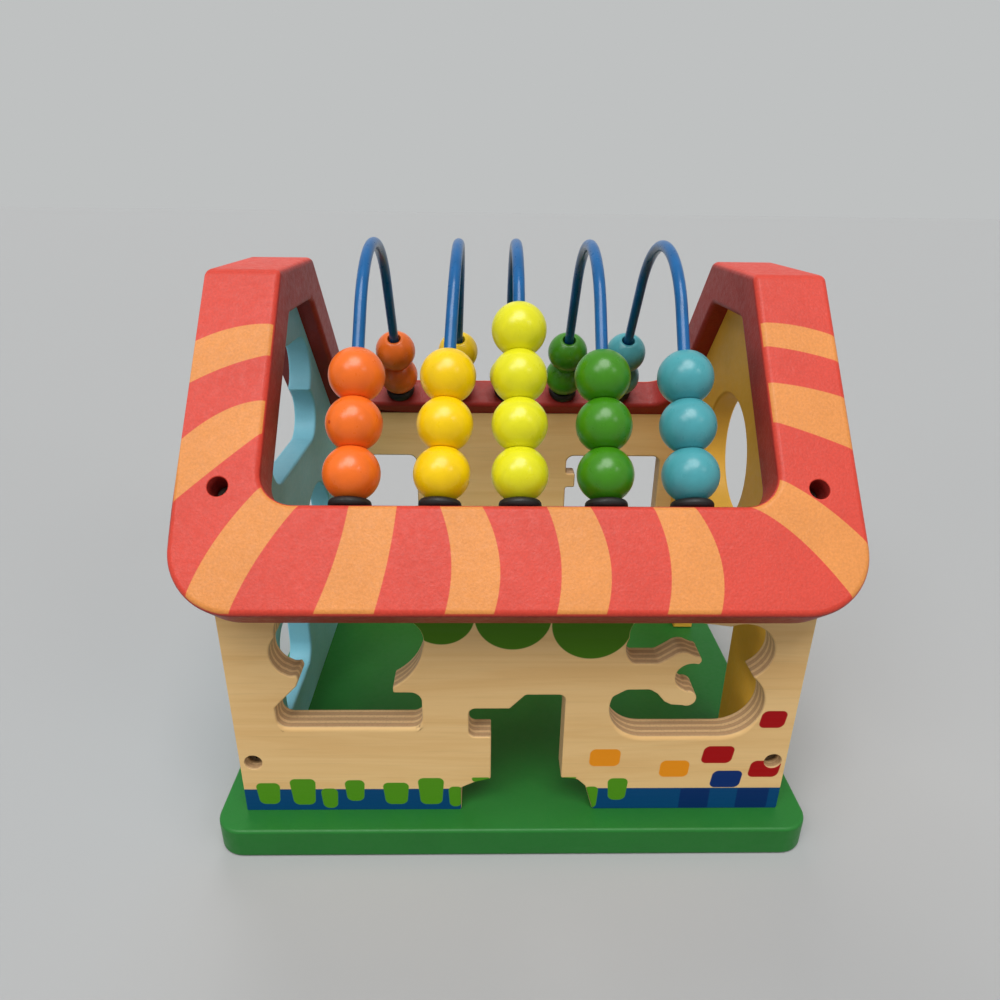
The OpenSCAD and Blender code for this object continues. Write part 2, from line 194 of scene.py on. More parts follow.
def patch(tree, across, up, box, corner, slant=0.0, taper=0.0):  # box is low x, high x, low z, high z
    return useGroup(tree, printedPatch, across=across, up=up, centreAcross=(box[0] + box[1]) / 2,
                    centreUp=(box[2] + box[3]) / 2, halfWidth=(box[1] - box[0]) / 2,
                    halfHeight=(box[3] - box[2]) / 2, corner=corner, slant=slant, taper=taper)


def throughThree(points):  # a, b and c of the curve a + b s + c s^2 through three points (s, value)
    (s0, v0), (s1, v1), (s2, v2) = points
    c = ((v2 - v0) / (s2 - s0) - (v1 - v0) / (s1 - s0)) / (s2 - s1)
    b = (v1 - v0) / (s1 - s0) - c * (s0 + s1)
    return v0 - b * s0 - c * s0 * s0, b, c


# sizes shared with the CAD part, in millimetres and degrees
house = dict(baseTop=12.5, wallHeight=97.5, wallThick=10, halfWidth=100, halfDepth=83.5)
roof = dict(slope=49, thick=16, overhang=20.5, ridgeHalf=25.5, barWidth=35, armMiddle=95.5,
            dowelRadius=3.05, screwX=95, screwUp=40.5)
beadWire = dict(pitch=28, shifts=[1.1, 2, 0, 0, 0], leans=[0.8, 3.2, 0, 0, 0], diameter=4.2, slope=55.5,
                bend=42.5, socket=14, bendSteps=56, roundSteps=28, knot=0.05)

roofTilt = math.radians(roof["slope"])
gableRise = (house["halfDepth"] - roof["ridgeHalf"]) * math.tan(roofTilt)
ridgeTop = house["baseTop"] + house["wallHeight"] + roof["thick"] / math.cos(roofTilt) + gableRise
eaveY = -house["halfDepth"] - roof["overhang"]
eaveZ = ridgeTop + (eaveY + roof["ridgeHalf"]) * math.tan(roofTilt)

# a wire's foot is the middle of the eave bar's inner edge face
wireTilt = math.radians(beadWire["slope"])
footY = eaveY + roof["barWidth"] * math.cos(roofTilt) + roof["thick"] / 2 * math.sin(roofTilt)
footZ = eaveZ + roof["barWidth"] * math.sin(roofTilt) - roof["thick"] / 2 * math.cos(roofTilt)
legLength = (-footY - beadWire["bend"] * math.sin(wireTilt)) / math.cos(wireTilt)
bendZ = footZ + legLength * math.sin(wireTilt) - beadWire["bend"] * math.cos(wireTilt)
wireCount = len(beadWire["shifts"])


def wireX(number):
    return (number - (wireCount - 1) / 2) * beadWire["pitch"] + beadWire["shifts"][number]


def footPoint(number):
    return Vector((wireX(number), footY, footZ))


# paint on the boards: mottle and grit are coarse and fine shade, peel the depth of the brushed skin
paints = dict(
    base=dict(colour=linear(33, 111, 41), mottle=0.05, rough=(0.42, 0.56), peel=0.22, coat=0.06,
              gloss=0.3, grit=0.02),
    blueWall=dict(colour=linear(134, 203, 222), mottle=0.05, rough=(0.4, 0.55), peel=0.25, coat=0.06,
                  gloss=0.3, grit=0.02),
    yellowWall=dict(colour=linear(238, 182, 68), mottle=0.07, rough=(0.4, 0.55), peel=0.25, coat=0.06,
                    gloss=0.3, grit=0.02),
    roof=dict(colour=linear(206, 68, 53), mottle=0.05, rough=(0.4, 0.54), peel=0.9, coat=0.02,
              gloss=0.27, grit=0.075),
)
paintGrain = dict(cloud=55, lighter=0.6, grit=1250, rough=420, skin=1150, skinDepth=0.00015, coatRough=0.35)


def woodPaint(name, look):  # satin paint on wood
    material, tree, shader = newMaterial(name)
    fine = place(tree)
    mottle = look["mottle"]
    grit = look["grit"]
    cloud = noise(tree, fine, paintGrain["cloud"], 3)
    cloud = spread(tree, cloud, 1 - mottle, 1 + mottle * paintGrain["lighter"])
    specks = spread(tree, noise(tree, fine, paintGrain["grit"]), 1 - grit, 1 + grit)
    shade = shaded(tree, look["colour"], calc(tree, "MULTIPLY", cloud, specks))
    skin = noise(tree, fine, paintGrain["skin"], 2.5, 0.55)
    feedAll(tree, shader, {
        "Base Color": shade.outputs[0],
        "Roughness": spread(tree, noise(tree, fine, paintGrain["rough"]), *look["rough"]),
        "Normal": bump(tree, skin, look["peel"], paintGrain["skinDepth"]),
        "Specular IOR Level": look["gloss"],
        "Coat Weight": look["coat"],
        "Coat Roughness": paintGrain["coatRough"],
    })
    return material, tree, shade


basePaint = woodPaint("greenBasePaint", paints["base"])[0]
bluePaint = woodPaint("blueWallPaint", paints["blueWall"])[0]
yellowPaint = woodPaint("yellowWallPaint", paints["yellowWall"])[0]

# stripes of a roof panel as edge points; bar and corner stripes give x at three heights up the slope,
# arm stripes give the height up the slope at three places across
roofStripes = dict(
    upright=[
        ([(1, -62.2), (17.6, -56.9), (35.2, -53.7)], [(1, -44.2), (17.6, -40.7), (35.2, -38.7)]),
        ([(1, -23.2), (17.6, -21.6), (34.7, -25.6)], [(1, -8.4), (17.6, -6.8), (35.1, -12.5)]),
        ([(1, 10.3), (17.6, 11.9), (34.8, 7.8)], [(1, 25.4), (17.6, 27.1), (35.2, 21.3)]),
        ([(1, 43.6), (17.6, 45.5), (34.3, 41.5)], [(1, 59.8), (17.6, 61.2), (34.4, 54.7)]),
        ([(8.7, -99.8), (24.8, -92.7), (41, -81.2)], [(1.9, -86.8), (18.5, -79.7), (35.2, -68.8)]),
    ],
    level=[
        ([(-108.2, 76), (-96, 82.5), (-81.9, 86.9)], [(-108.3, 91.5), (-97.5, 96.4), (-83.3, 98.4)]),
        ([(-108, 35.3), (-95.3, 47.6), (-83.2, 58.6)], [(-108.1, 56.3), (-97.3, 65.4), (-82.7, 70.2)]),
        ([(84, 91.5), (95, 89.6), (108, 85.7)], [(83.4, 100.7), (96, 99.4), (107.9, 95.6)]),
        ([(83.5, 63.6), (95, 59.5), (107.2, 54.3)], [(84.7, 77.9), (96, 76), (107.6, 72.6)]),
        ([(72.5, 34.5), (86.4, 24.1), (100.3, 6)], [(83.4, 43.5), (95, 35.6), (106.5, 24.2)]),
    ],
    armFrom=(71.0, 71.3),  # arm stripes stay outside this distance from the middle
    topFrom=(0.62, 0.7),  # stripes lie only where the surface faces out as much as this
    eaveFrom=(0.6, 1.0),  # and end this far from the eave
    paintedShadeTo=(0.3, 0.6),  # surfaces that face out less than this get painted shade, the darker red below
    # edge is painted shade: a darker red that stands in for the shade on the roof's inner faces and underside
    orange=linear(218, 140, 72), edge=linear(156, 46, 40),
)


def stripedRoof():
    material, tree, shade = woodPaint("stripedRoofPaint", paints["roof"])
    x, y, z = millimetres(tree)
    side = calc(tree, "MULTIPLY", calc(tree, "SIGN", y), -1.0)
    across = calc(tree, "MULTIPLY", x, side)
    run = calc(tree, "SUBTRACT", -eaveY, calc(tree, "ABSOLUTE", y))
    rise = calc(tree, "MULTIPLY", calc(tree, "SUBTRACT", z, eaveZ), math.sin(roofTilt))
    up = calc(tree, "MULTIPLY_ADD", run, math.cos(roofTilt), rise)
    total = 0.0
    for kind, along, over in (("upright", up, across), ("level", across, up)):
        for low, high in roofStripes[kind]:
            curves = throughThree(low) + throughThree(high)
            edges = dict(zip(("lowA", "lowB", "lowC", "highA", "highB", "highC"), curves))
            mask = useGroup(tree, paintedBand, along=along, across=over, **edges)
            if kind == "level":  # one arm only
                outer = calc(tree, "MULTIPLY", across, math.copysign(1.0, low[0][0]))
                mask = calc(tree, "MULTIPLY", mask, smoothStep(tree, outer, *roofStripes["armFrom"]))
            total = calc(tree, "MAXIMUM", total, mask)
    normal = facing(tree)
    away = calc(tree, "MULTIPLY", calc(tree, "MULTIPLY", normal[1], side), -math.sin(roofTilt))
    outward = calc(tree, "MULTIPLY_ADD", normal[2], math.cos(roofTilt), away)
    total = calc(tree, "MULTIPLY", total, smoothStep(tree, outward, *roofStripes["topFrom"]))
    total = calc(tree, "MULTIPLY", total, smoothStep(tree, up, *roofStripes["eaveFrom"]))
    # painted shade: faces turned away from the outside get the darker red
    outOfPaintedShade = smoothStep(tree, outward, *roofStripes["paintedShadeTo"])
    plain = blendColour(tree, outOfPaintedShade, roofStripes["edge"], paints["roof"]["colour"])
    feed(tree, shade.inputs["Color"], blendColour(tree, total, plain, roofStripes["orange"]))
    return material


roofPaint = stripedRoof()

plywood = dict(
    light=linear(242, 202, 140), dark=linear(232, 187, 123), plyLight=linear(216, 180, 132),
    plyEnd=linear(184, 148, 108), plyDark=linear(138, 106, 76), plies=7,
    grain=(9, 60, 120), fibre=(28, 300, 900), wander=(25, 25, 25),  # noise scales along x, y and z
    wanderDepth=0.5, speckScale=1300,
    streak=0.1, glue=0.4, speck=0.25,  # how much of the dark colour each adds
    figureFrom=(0.3, 0.75), streakFrom=(0.5, 0.8), endPly=(0.65, 0.35), glueWithin=(0.14, 0.05),
    speckFrom=(0.45, 0.75), faceFrom=(0.45, 0.75), frontFrom=(-0.55, -0.75),  # the last two are facings
    rough=(0.5, 0.66), gloss=0.25, fibreBump=(0.3, 0.00008), plyBump=(0.35, 0.00015),
)
# prints on the front wall, boxes as low x, high x, low and high over the base board
prints = dict(
    band=linear(0, 66, 114), bandPatch=linear(0, 40, 96), tuft=linear(80, 144, 24),
    orange=linear(240, 148, 26), red=linear(166, 6, 12), blue=linear(4, 42, 106), scallop=linear(66, 112, 8),
    bandHeight=10.2,
    bandPatches=[(62.4, 73.4), (83.9, 95.8)],
    tufts=[(-95.5, -86.5, 3.1, 13.2), (-83, -73.3, 2.7, 15.1), (-71.8, -65.4, 1, 10.5),
           (-62.8, -55.3, 4.5, 14.5), (-48.8, -39, 2.8, 13.2), (-35.8, -26, 2.7, 15.4),
           (-24.5, -19.2, 1.5, 11.2), (34.6, 42.3, 4.5, 15), (26.2, 31.4, 0.5, 11),
           (-16, -9, 13.5, 15.6), (18, 23, 14.4, 15.6)],
    bricks=dict(
        orange=[(27.3, 38.4, 20.9, 28.8), (53.5, 64.2, 15.7, 23.4)],
        red=[(68.6, 79.8, 22.2, 30.1), (86.8, 98, 15.5, 23.2), (87.5, 96.6, 38.5, 46)],
        blue=[(73.2, 84.3, 10.5, 18.5)],
    ),
    slant=dict(orange=0.04, red=0.12, blue=0.1),
    corner=2.2, patchCorner=0.6, patchInset=(0.4, 0.3),
    tuftTaper=0.05, tuftCorner=(2.4, 2.2),  # a tuft's corner is at most its width and height over these
    scallops=[(-25.85, 11.2, 74.2), (-1.8, 12.8, 72.2), (24.85, 13.6, 68.5)],  # middle, radius, lowest point
    pastEnds=110, belowBase=-5, aboveWall=130,  # these run off the wall
)


def plyFace(tree, fibre):  # broad figure with fine dark streaks along the board
    figure = noise(tree, place(tree, plywood["grain"]), 1.0, 4.0, 0.6, 0.8)
    figure = smoothStep(tree, figure, *plywood["figureFrom"])
    colour = blendColour(tree, figure, plywood["light"], plywood["dark"])
    streak = smoothStep(tree, noise(tree, fibre, 1.0, 2.0, 0.6), *plywood["streakFrom"])
    return blendColour(tree, calc(tree, "MULTIPLY", streak, plywood["streak"]), colour, plywood["plyDark"])


def plyEdge(tree, y):  # cut edges show the plies, parallel to the face; wave runs 0 to 1 over one ply
    depth = calc(tree, "SUBTRACT", calc(tree, "ABSOLUTE", y), house["halfDepth"] - house["wallThick"])
    wander = noise(tree, place(tree, plywood["wander"]), 1.0, 1.0)
    depth = calc(tree, "ADD", depth, calc(tree, "MULTIPLY", wander, plywood["wanderDepth"]))
    wave = calc(tree, "PINGPONG", calc(tree, "MULTIPLY", depth, plywood["plies"] / house["wallThick"]), 1.0)
    endPly = smoothStep(tree, wave, *plywood["endPly"])
    colour = blendColour(tree, endPly, plywood["plyLight"], plywood["plyEnd"])
    offGlue = calc(tree, "ABSOLUTE", calc(tree, "SUBTRACT", wave, 0.5))
    glue = calc(tree, "MULTIPLY", smoothStep(tree, offGlue, *plywood["glueWithin"]), plywood["glue"])
    colour = blendColour(tree, glue, colour, plywood["plyDark"])
    speck = smoothStep(tree, noise(tree, place(tree), plywood["speckScale"]), *plywood["speckFrom"])
    speck = calc(tree, "MULTIPLY", speck, plywood["speck"])
    return blendColour(tree, speck, colour, plywood["plyDark"]), wave


def printLayers(tree, x, up):  # ink and mask of each printed shape, the lower ones first
    top = prints["bandHeight"]
    ends = prints["pastEnds"]
    layers = [("band", patch(tree, x, up, (-ends, ends, prints["belowBase"], top), 0.0))]
    below, above = prints["patchInset"]
    for low, high in prints["bandPatches"]:
        box = (low, high, below, top - above)
        layers.append(("bandPatch", patch(tree, x, up, box, prints["patchCorner"])))
    for ink, boxes in prints["bricks"].items():
        for box in boxes:
            layers.append((ink, patch(tree, x, up, box, prints["corner"], prints["slant"][ink])))
    overWidth, overHeight = prints["tuftCorner"]
    for low, high, foot, head in prints["tufts"]:  # wider at the top
        narrow = (high - low) * prints["tuftTaper"]
        box = (low + narrow, high - narrow, foot, head)
        corner = min(prints["corner"], (box[1] - box[0]) / overWidth, (head - foot) / overHeight)
        layers.append(("tuft", patch(tree, x, up, box, corner, taper=2 * narrow / (head - foot))))
    for middle, radius, low in prints["scallops"]:
        box = (middle - radius, middle + radius, low, prints["aboveWall"])
        layers.append(("scallop", patch(tree, x, up, box, radius)))
    return layers


def plywoodMaterial(name, printed):
    material, tree, shader = newMaterial(name)
    fibre = place(tree, plywood["fibre"])
    x, y, z = millimetres(tree)
    normal = facing(tree)
    colour = plyFace(tree, fibre)
    edgeColour, wave = plyEdge(tree, y)
    if printed:
        front = smoothStep(tree, normal[1], *plywood["frontFrom"])
        for ink, mask in printLayers(tree, x, calc(tree, "SUBTRACT", z, house["baseTop"])):
            colour = blendColour(tree, calc(tree, "MULTIPLY", mask, front), colour, prints[ink])
    onFace = smoothStep(tree, calc(tree, "ABSOLUTE", normal[1]), *plywood["faceFrom"])
    ridges = calc(tree, "MULTIPLY", wave, calc(tree, "SUBTRACT", 1.0, onFace))
    skin = bump(tree, noise(tree, fibre, 1.0), *plywood["fibreBump"])
    feedAll(tree, shader, {
        "Base Color": blendColour(tree, onFace, edgeColour, colour),
        "Roughness": spread(tree, noise(tree, fibre, 1.0), *plywood["rough"]),
        "Normal": bump(tree, ridges, *plywood["plyBump"], skin),
        "Specular IOR Level": plywood["gloss"],
    })
    return material


frontPly = plywoodMaterial("printedPlywood", True)
plainPly = plywoodMaterial("barePlywood", False)

beadColours = dict(
    orange=linear(240, 112, 34), yellow=linear(243, 201, 8), lime=linear(226, 222, 30),
    green=linear(60, 130, 14), teal=linear(74, 156, 164),
)
beadLook = dict(grain=(90, 500, 90), tone=(0.93, 1.04), rough=(0.26, 0.38), roughScale=300, gloss=0.35,
                coat=0.2, coatRough=0.2, dents=210, dentBump=(0.2, 0.0003), skin=1100,
                skinBump=(0.35, 0.00008))


def lacquer(name, colour, nicks=()):  # glossy lacquer over turned wood
    material, tree, shader = newMaterial(name)
    fine = place(tree)
    grain = noise(tree, place(tree, beadLook["grain"]), 1.0, 3.0, 0.55, 0.4)
    tone = shaded(tree, colour, spread(tree, grain, *beadLook["tone"])).outputs[0]
    for centre, radius, stain in nicks:
        parts = [calc(tree, "SUBTRACT", axis, at) for axis, at in zip(millimetres(tree), centre)]
        squares = [calc(tree, "MULTIPLY", part, part) for part in parts]
        away = calc(tree, "SQRT", calc(tree, "ADD", calc(tree, "ADD", squares[0], squares[1]), squares[2]))
        tone = blendColour(tree, smoothStep(tree, away, radius, radius * 0.5), tone, stain)
    dents = bump(tree, noise(tree, fine, beadLook["dents"]), *beadLook["dentBump"])
    feedAll(tree, shader, {
        "Base Color": tone,
        "Roughness": spread(tree, noise(tree, fine, beadLook["roughScale"]), *beadLook["rough"]),
        "Normal": bump(tree, noise(tree, fine, beadLook["skin"]), *beadLook["skinBump"], dents),
        "Specular IOR Level": beadLook["gloss"],
        "Coat Weight": beadLook["coat"],
        "Coat Roughness": beadLook["coatRough"],
    })
    return material


beadLacquer = {name: lacquer(name + "BeadLacquer", colour) for name, colour in beadColours.items()}

# tone and rough are a noise scale and a range, skin a noise scale and detail, then bump strength and depth
finishes = dict(
    blueWireCoating=dict(colour=linear(8, 90, 148), tone=(160, 0.9, 1.08), rough=(500, 0.26, 0.38),
                         skin=(700, 1.5, 0.1, 0.0001),
                         more={"Specular IOR Level": 0.25, "Coat Weight": 0.3, "Coat Roughness": 0.1}),
    blackRubber=dict(colour=linear(16, 12, 11), tone=(240, 0.75, 1.2), rough=(600, 0.45, 0.7),
                     skin=(1500, 2.0, 0.25, 0.0001), more={}),
    zincScrew=dict(colour=linear(112, 106, 96), tone=(500, 0.8, 1.1), rough=(900, 0.3, 0.5),
                   skin=(1800, 2.0, 0.2, 0.00006), more={"Metallic": 1.0}),
)


def plainFinish(name):
    look = finishes[name]
    material, tree, shader = newMaterial(name)
    fine = place(tree)
    toneScale, *tone = look["tone"]
    roughScale, *rough = look["rough"]
    skinScale, skinDetail, *skin = look["skin"]
    shade = shaded(tree, look["colour"], spread(tree, noise(tree, fine, toneScale), *tone))
    feedAll(tree, shader, {
        "Base Color": shade.outputs[0],
        "Roughness": spread(tree, noise(tree, fine, roughScale), *rough),
        "Normal": bump(tree, noise(tree, fine, skinScale, skinDetail), *skin),
        **look["more"],
    })
    return material


beechLook = dict(light=linear(214, 178, 128), dark=linear(188, 148, 100), grain=(300, 60, 300),
                 streak=(0.35, 0.65), rough=(0.55, 0.7), roughScale=500, grainBump=(0.3, 0.0001))


def dowelWood():
    material, tree, shader = newMaterial("beechDowel")
    grain = noise(tree, place(tree, beechLook["grain"]), 1.0, 3.0)
    streak = smoothStep(tree, grain, *beechLook["streak"])
    fine = noise(tree, place(tree), beechLook["roughScale"])
    feedAll(tree, shader, {
        "Base Color": blendColour(tree, streak, beechLook["light"], beechLook["dark"]),
        "Roughness": spread(tree, fine, *beechLook["rough"]),
        "Normal": bump(tree, grain, *beechLook["grainBump"]),
    })
    return material


wirePaint = plainFinish("blueWireCoating")
rubber = plainFinish("blackRubber")
steel = plainFinish("zincScrew")
beech = dowelWood()
print("materials:", len(bpy.data.materials))

# boards with rounded edges, made from the CAD boards
sanding = dict(weld=3e-6, flat=0.6, sharp=32)  # merge distance in metres, angles in degrees


def plainMesh(piece):  # the evaluated shape as a plain mesh, with no modifier left
    depsgraph = bpy.context.evaluated_depsgraph_get()
    mesh = bpy.data.meshes.new_from_object(
        piece.evaluated_get(depsgraph), preserve_all_data_layers=True, depsgraph=depsgraph)
    piece.modifiers.clear()
    old = piece.data
    piece.data = mesh
    bpy.data.meshes.remove(old)
    mesh.name = piece.name
    return piece


def softened(nodeNames, pieceName, look, material, share, weld=None):
    sharp = math.radians(sanding["sharp"])
    flat = math.radians(sanding["flat"])
    work = bmesh.new()
    for nodeName in nodeNames:
        work.from_mesh(cadNodes[nodeName].data)
    if weld is not None:
        weld(work)
    bmesh.ops.remove_doubles(work, verts=work.verts, dist=sanding["weld"])
    bmesh.ops.dissolve_limit(work, angle_limit=flat, verts=work.verts, edges=work.edges)
    weight = work.edges.layers.float.new("bevel_weight_edge")
    for edge in work.edges:
        if len(edge.link_faces) == 2 and edge.calc_face_angle(0.0) > sharp:
            edge[weight] = share(edge)
    for facet in work.faces:
        facet.smooth = True
    mesh = bpy.data.meshes.new(pieceName)
    work.to_mesh(mesh)
    work.free()
    piece = bpy.data.objects.new(pieceName, mesh)
    scene.collection.objects.link(piece)
    rounding = piece.modifiers.new("edgeRound", "BEVEL")
    rounding.width = look["round"] * mm
    rounding.segments = look["segments"]
    rounding.limit_method = "WEIGHT"
    rounding.miter_outer = "MITER_ARC"
    rounding.use_clamp_overlap = False
    plainMesh(piece)
    piece.data.set_sharp_from_angle(angle=sharp)
    piece.modifiers.new("evenShading", "WEIGHTED_NORMAL").keep_sharp = True
    plainMesh(piece)
    piece.data.materials.clear()
    piece.data.materials.append(material)
    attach(piece, "house")
    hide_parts(*nodeNames)


def middleOf(edge):  # millimetres
    return (edge.verts[0].co + edge.verts[1].co) / 2 / mm


def offLine(point, start, direction):  # distance from a line
    reach = point - start
    return (reach - direction * reach.dot(direction)).length


def limited(value):  # 0 to 1
    return min(1.0, max(0.0, value))


# each piece's widest rounding in millimetres, and the share of it that its other edges get
baseEdge = dict(round=1.3, segments=3, rimX=104, rimY=88, hole=0.2)
wallEdge = dict(round=1.0, segments=3, shortLength=0.5, short=0.5)
frontEdge = dict(round=2.0, segments=3, hole=0.08, holeX=95, holeUp=23, holeReach=5, cut=0.3, corner=0.6,
                 sillX=30, sillLow=45, sillHigh=58, sillFade=6, levelFrom=0.1, levelOver=0.75)
roofEdge = dict(round=2.2, segments=4, hole=0.2, holeReach=4, rimReach=4.5, boreReach=17, boreLength=0.8,
                mitreSlack=0.02, dowelSlack=0.1, weld=2e-5)
washerEdge = dict(round=1.7, segments=4, bore=0.15, boreReach=5)


def baseShare(edge):  # screw holes under the board have small edges
    point = middleOf(edge)
    atRim = abs(point.x) > baseEdge["rimX"] or abs(point.y) > baseEdge["rimY"]
    return 1.0 if atRim else baseEdge["hole"]


def wallShare(edge):
    return 1.0 if edge.calc_length() > wallEdge["shortLength"] * mm else wallEdge["short"]


def frontShare(edge):  # the figures' sills are sanded rounder than the other cuts
    point = middleOf(edge)
    holeUp = point.z - house["baseTop"] - frontEdge["holeUp"]
    if math.hypot(abs(point.x) - frontEdge["holeX"], holeUp) < frontEdge["holeReach"]:
        return frontEdge["hole"]
    cut = frontEdge["cut"]
    if abs(point.y + house["halfDepth"]) > 0.1:  # behind the front face
        return cut
    if abs(point.x) > house["halfWidth"] - 0.5:  # the wall's two ends
        return frontEdge["corner"]
    if abs(point.x) < frontEdge["sillX"] or point.z < frontEdge["sillLow"]:
        return cut
    rise = max(facet.normal.z for facet in edge.link_faces)
    level = limited((rise - frontEdge["levelFrom"]) / frontEdge["levelOver"])
    return cut + (1 - cut) * level * limited((frontEdge["sillHigh"] - point.z) / frontEdge["sillFade"])


def roofShare(edge):  # screw holes have a small edge, wire sockets none
    point = middleOf(edge)
    point.y = -abs(point.y)
    upSlope = Vector((0, math.cos(roofTilt), math.sin(roofTilt)))
    square = Vector((0, -math.sin(roofTilt), math.cos(roofTilt)))
    for side in (-1, 1):
        hole = Vector((side * roof["screwX"], eaveY, eaveZ)) + upSlope * roof["screwUp"]
        if offLine(point, hole, square) < roofEdge["holeReach"]:
            return roofEdge["hole"]
    for number in range(wireCount):
        away = (point - footPoint(number)).length
        inBore = away < roofEdge["boreReach"] and edge.calc_length() < roofEdge["boreLength"] * mm
        if away < roofEdge["rimReach"] or inBore:
            return 0.0
    return 1.0


def weldRoof(work):  # takes out the mitre faces and dowel holes, so that panels and ridge blocks are one skin
    lean = roofTilt / 2
    half = roof["thick"] / 2
    inner = []
    for facet in work.faces:
        middle = facet.calc_center_median()
        side = 1 if middle.y > 0 else -1
        arm = 1 if middle.x > 0 else -1
        square = Vector((0, -side * math.cos(lean), math.sin(lean)))
        top = Vector((0, side * roof["ridgeHalf"], ridgeTop))
        dowelY = side * (roof["ridgeHalf"] - half * math.tan(lean))
        dowel = Vector((arm * roof["armMiddle"], dowelY, ridgeTop - half))
        corners = [vertex.co / mm for vertex in facet.verts]
        onMitre = all(abs((corner - top).dot(square)) < roofEdge["mitreSlack"] for corner in corners)
        holeReach = roof["dowelRadius"] + roofEdge["dowelSlack"]
        if onMitre or all(offLine(corner, dowel, square) < holeReach for corner in corners):
            inner.append(facet)
    bmesh.ops.delete(work, geom=inner, context="FACES")
    bmesh.ops.remove_doubles(work, verts=work.verts, dist=roofEdge["weld"])
    openEdges = sum(edge.is_boundary for edge in work.edges)
    print("roof skin:", len(inner), "joint faces out,", openEdges, "open edges")


def washerShare(edge):  # round outside, small edges in the bore
    point = middleOf(edge)
    point.y = -abs(point.y)
    number = min(range(wireCount), key=lambda one: abs(point.x - wireX(one)))
    lean = math.radians(beadWire["leans"][number])
    rise = math.sin(wireTilt)
    leg = Vector((rise * math.sin(lean), math.cos(wireTilt), rise * math.cos(lean)))
    outside = offLine(point, footPoint(number), leg) > washerEdge["boreReach"]
    return 1.0 if outside else washerEdge["bore"]


softened(["base_board"], "baseBoard", baseEdge, basePaint, baseShare)
softened(["front_wall"], "frontWall", frontEdge, frontPly, frontShare)
softened(["back_wall"], "backWall", wallEdge, plainPly, wallShare)
softened(["left_wall"], "leftWall", wallEdge, bluePaint, wallShare)
softened(["right_wall"], "rightWall", wallEdge, yellowPaint, wallShare)
softened(["front_roof", "back_roof", "left_ridge", "right_ridge"], "roofFrame", roofEdge, roofPaint,
         roofShare, weldRoof)
softened(["front_washers"], "frontWashers", washerEdge, rubber, washerShare)
softened(["back_washers"], "backWashers", washerEdge, rubber, washerShare)


# bead wires and beads, swept by Geometry Nodes
def startTree(name, sockets):  # sockets are the input names by kind
    tree = bpy.data.node_groups.new(name, "GeometryNodeTree")
    tree.interface.new_socket("Geometry", in_out="OUTPUT", socket_type="NodeSocketGeometry")
    for kind, names in sockets.items():
        for one in names:
            tree.interface.new_socket(one, in_out="INPUT", socket_type="NodeSocket" + kind)
    return tree, tree.nodes.new("NodeGroupInput").outputs


def endTree(tree, geometry, material):  # smooth, realized and with its material
    smooth = addNode(tree, "GeometryNodeSetShadeSmooth", {"Geometry": geometry})
    real = addNode(tree, "GeometryNodeRealizeInstances", {0: smooth.outputs[0]})
    paint = addNode(tree, "GeometryNodeSetMaterial", {"Geometry": real.outputs[0], "Material": material})
    addNode(tree, "NodeGroupOutput", {0: paint.outputs[0]})


def nodesPiece(pieceName, tree, values):  # one plain mesh from a tree and its inputs
    piece = bpy.data.objects.new(pieceName, bpy.data.meshes.new(pieceName))
    scene.collection.objects.link(piece)
    modifier = piece.modifiers.new("shape", "NODES")
    modifier.node_group = tree
    for item in tree.interface.items_tree:
        if item.in_out == "INPUT":
            modifier[item.identifier] = values[item.name]
    return plainMesh(piece)


def combine(tree, **axes):  # a vector from x, y or z
    sockets = {axis.upper(): value for axis, value in axes.items()}
    return addNode(tree, "ShaderNodeCombineXYZ", sockets).outputs[0]


# two straight legs and a round bend, swept with a circle; the wire's plane leans about its feet
def wireTree():
    tree, given = startTree("bentWire", {
        "Float": ("x", "footY", "footZ", "lean", "slope", "legLength", "socket", "bend", "bendZ", "diameter"),
        "Material": ("coating",)})
    cosine = calc(tree, "COSINE", given["slope"])
    sine = calc(tree, "SINE", given["slope"])
    join = tree.nodes.new("GeometryNodeJoinGeometry")
    for mirror in (1.0, -1.0):
        ends = []
        for along in (calc(tree, "MULTIPLY", given["socket"], -1.0), given["legLength"]):
            out = calc(tree, "MULTIPLY_ADD", along, cosine, given["footY"])
            up = calc(tree, "MULTIPLY", along, sine)
            ends.append(combine(tree, y=calc(tree, "MULTIPLY", out, mirror), z=up))
        leg = addNode(tree, "GeometryNodeCurvePrimitiveLine", {"Start": ends[0], "End": ends[1]})
        tree.links.new(leg.outputs[0], join.inputs[0])
    arc = addNode(tree, "GeometryNodeCurveArc", {
        "Resolution": beadWire["bendSteps"], "Radius": given["bend"],
        "Start Angle": calc(tree, "SUBTRACT", math.pi / 2, given["slope"]),
        "Sweep Angle": calc(tree, "MULTIPLY", given["slope"], 2.0)})
    stand = addNode(tree, "GeometryNodeTransform", {
        "Geometry": arc.outputs[0], "Rotation": (math.pi / 2, 0, math.pi / 2),
        "Translation": combine(tree, z=calc(tree, "SUBTRACT", given["bendZ"], given["footZ"]))})
    tree.links.new(stand.outputs[0], join.inputs[0])
    # legs and bend become one thread, so that the sweep has no seams
    thread = addNode(tree, "GeometryNodeCurveToMesh", {"Curve": join.outputs[0]})
    knot = addNode(tree, "GeometryNodeMergeByDistance", {
        "Geometry": thread.outputs[0], "Distance": beadWire["knot"] * mm})
    whole = addNode(tree, "GeometryNodeMeshToCurve", {"Mesh": knot.outputs[0]})
    ring = addNode(tree, "GeometryNodeCurvePrimitiveCircle", {
        "Resolution": beadWire["roundSteps"], "Radius": calc(tree, "MULTIPLY", given["diameter"], 0.5)})
    sweep = addNode(tree, "GeometryNodeCurveToMesh", {
        "Curve": whole.outputs[0], "Profile Curve": ring.outputs[0], "Fill Caps": True})
    setUp = addNode(tree, "GeometryNodeTransform", {
        "Geometry": sweep.outputs[0], "Translation": combine(tree, x=given["x"], z=given["footZ"]),
        "Rotation": combine(tree, y=given["lean"])})
    endTree(tree, setUp.outputs[0], given["coating"])
    return tree


